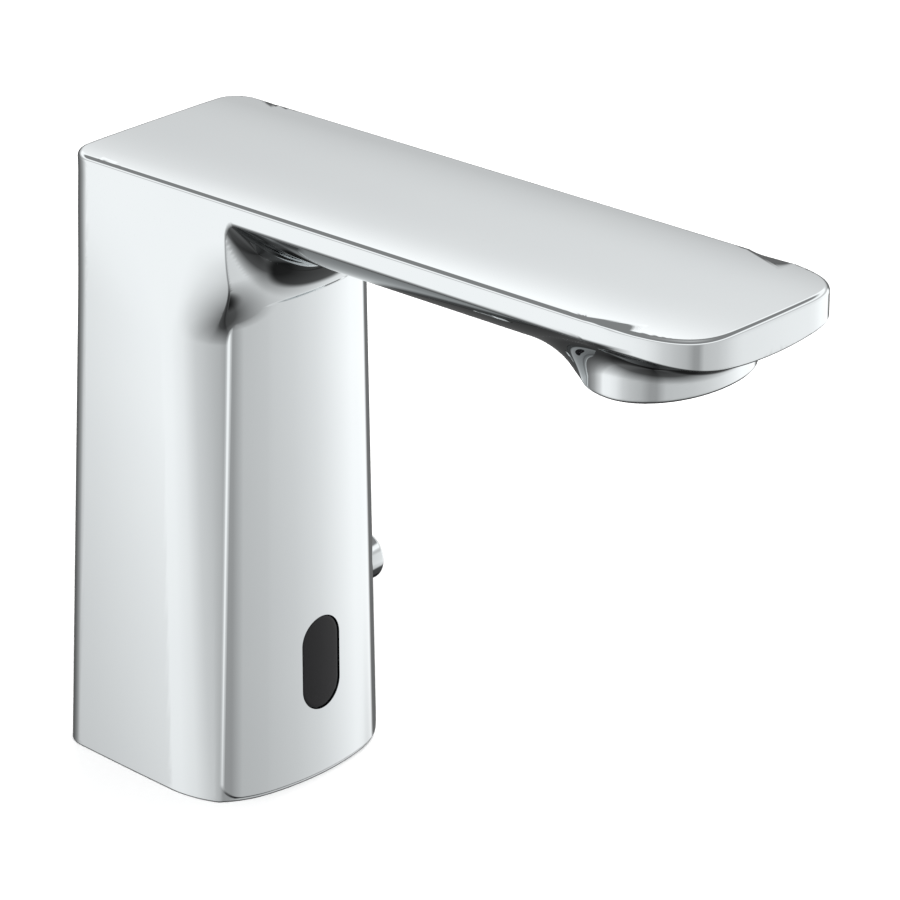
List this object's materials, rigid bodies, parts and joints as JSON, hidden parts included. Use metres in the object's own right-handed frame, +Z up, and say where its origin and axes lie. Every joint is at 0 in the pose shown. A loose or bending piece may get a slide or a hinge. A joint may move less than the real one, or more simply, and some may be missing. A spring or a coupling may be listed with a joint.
{
  "type": "sensor tap",
  "caption": "Deck-mounted chrome sensor tap: broad column, flat squared spout, dark oval sensor window low on the front and a small temperature knob on one side.",
  "frame": {"origin": "centre of the deck stud's thread, level with the deck face the tap stands on", "axes": "+Z up from the deck, the spout reaches towards -Y, the temperature knob is on the +X side"},
  "size_m": [0.0626, 0.184, 0.145],
  "materials": {
    "chrome_body": "mirror chrome plate on cast brass",
    "chrome_knob": "mirror chrome plate",
    "black_rubber": "smooth moulded rubber",
    "valve_rubber": "thin moulded rubber membrane",
    "cast_zinc": "as-cast zinc, dull grey",
    "steel_screws": "plain stainless screws",
    "steel_mesh": "fine pierced stainless screen",
    "spring_steel": "drawn stainless",
    "magnet_steel": "turned magnetic steel",
    "raw_brass": "machined brass, unplated",
    "white_plastic": "moulded acetal",
    "black_plastic": "glass-filled moulded plastic",
    "tube_plastic": "drawn plastic tube",
    "coil_resin": "cast resin over the winding",
    "ceramic": "lapped ceramic",
    "dark_lens": "polished infrared-clear dark lens",
    "circuit_board": "solder mask over laminate",
    "clear_diode": "clear moulded diode",
    "dark_diode": "dark moulded diode"
  },
  "bodies": {
    "tap": {"body_shell": "chrome_body", "base_seal": "black_rubber", "base_plate": "cast_zinc", "plate_screws": "steel_screws", "block_screws": "steel_screws", "cable_grommet": "black_rubber", "mixing_block": "raw_brass", "cold_strainer": "steel_mesh", "hot_strainer": "steel_mesh", "cold_check_sleeve": "white_plastic", "hot_check_sleeve": "white_plastic", "cold_check_spring": "spring_steel", "hot_check_spring": "spring_steel", "fixed_disc": "ceramic", "cartridge_sleeve": "white_plastic", "gland_nut": "raw_brass", "valve_body": "black_plastic", "diaphragm": "valve_rubber", "valve_cover": "black_plastic", "valve_screws": "steel_screws", "core_tube": "spring_steel", "plunger_spring": "spring_steel", "solenoid_coil": "coil_resin", "coil_frame": "magnet_steel", "coil_nut": "raw_brass", "spout_tube": "tube_plastic", "tube_seal": "black_rubber", "aerator_nest": "black_plastic", "aerator_cage": "chrome_knob", "aerator_insert": "white_plastic", "aerator_gasket": "black_rubber", "sensor_window": "dark_lens", "window_gasket": "black_rubber", "sensor_housing": "black_plastic", "sensor_screws": "steel_screws", "sensor_board": "circuit_board", "ir_emitter": "clear_diode", "ir_receiver": "dark_diode"},
    "mixing_knob": {"temperature_knob": "chrome_knob", "knob_screw": "steel_screws", "mixing_spindle": "raw_brass", "spindle_seal": "black_rubber", "turning_disc": "ceramic"},
    "armature": {"plunger": "magnet_steel"},
    "main_valve": {"diaphragm_hub": "white_plastic"},
    "hot_check": {"hot_check_poppet": "white_plastic"},
    "cold_check": {"cold_check_poppet": "white_plastic"}
  },
  "joints": [
    {"name": "temperature_turn", "type": "hinge", "parent": "tap", "child": "mixing_knob", "pos_m": [0.0344, -0.0065, 0.038], "axis": [1, 0, 0], "range_deg": [-60, 60]},
    {"name": "plunger_lift", "type": "slide", "parent": "tap", "child": "armature", "axis": [0, 0, 1], "range_m": [0, 0.002], "stiffness_N_per_m": 400, "springref_m": -0.002, "deforming": ["plunger_spring"]},
    {"name": "main_valve_lift", "type": "slide", "parent": "tap", "child": "main_valve", "axis": [0, 0, 1], "range_m": [0, 0.0016], "stiffness_N_per_m": 400, "springref_m": -0.001, "deforming": ["diaphragm"]},
    {"name": "hot_check_lift", "type": "slide", "parent": "tap", "child": "hot_check", "axis": [0, 0, 1], "range_m": [0, 0.002], "stiffness_N_per_m": 200, "springref_m": -0.001, "deforming": ["hot_check_spring"]},
    {"name": "cold_check_lift", "type": "slide", "parent": "tap", "child": "cold_check", "axis": [0, 0, 1], "range_m": [0, 0.002], "stiffness_N_per_m": 200, "springref_m": -0.001, "deforming": ["cold_check_spring"]}
  ],
  "couplings": [
    {"joint": "main_valve_lift", "follows": "plunger_lift", "ratio": 0.8}
  ]
}
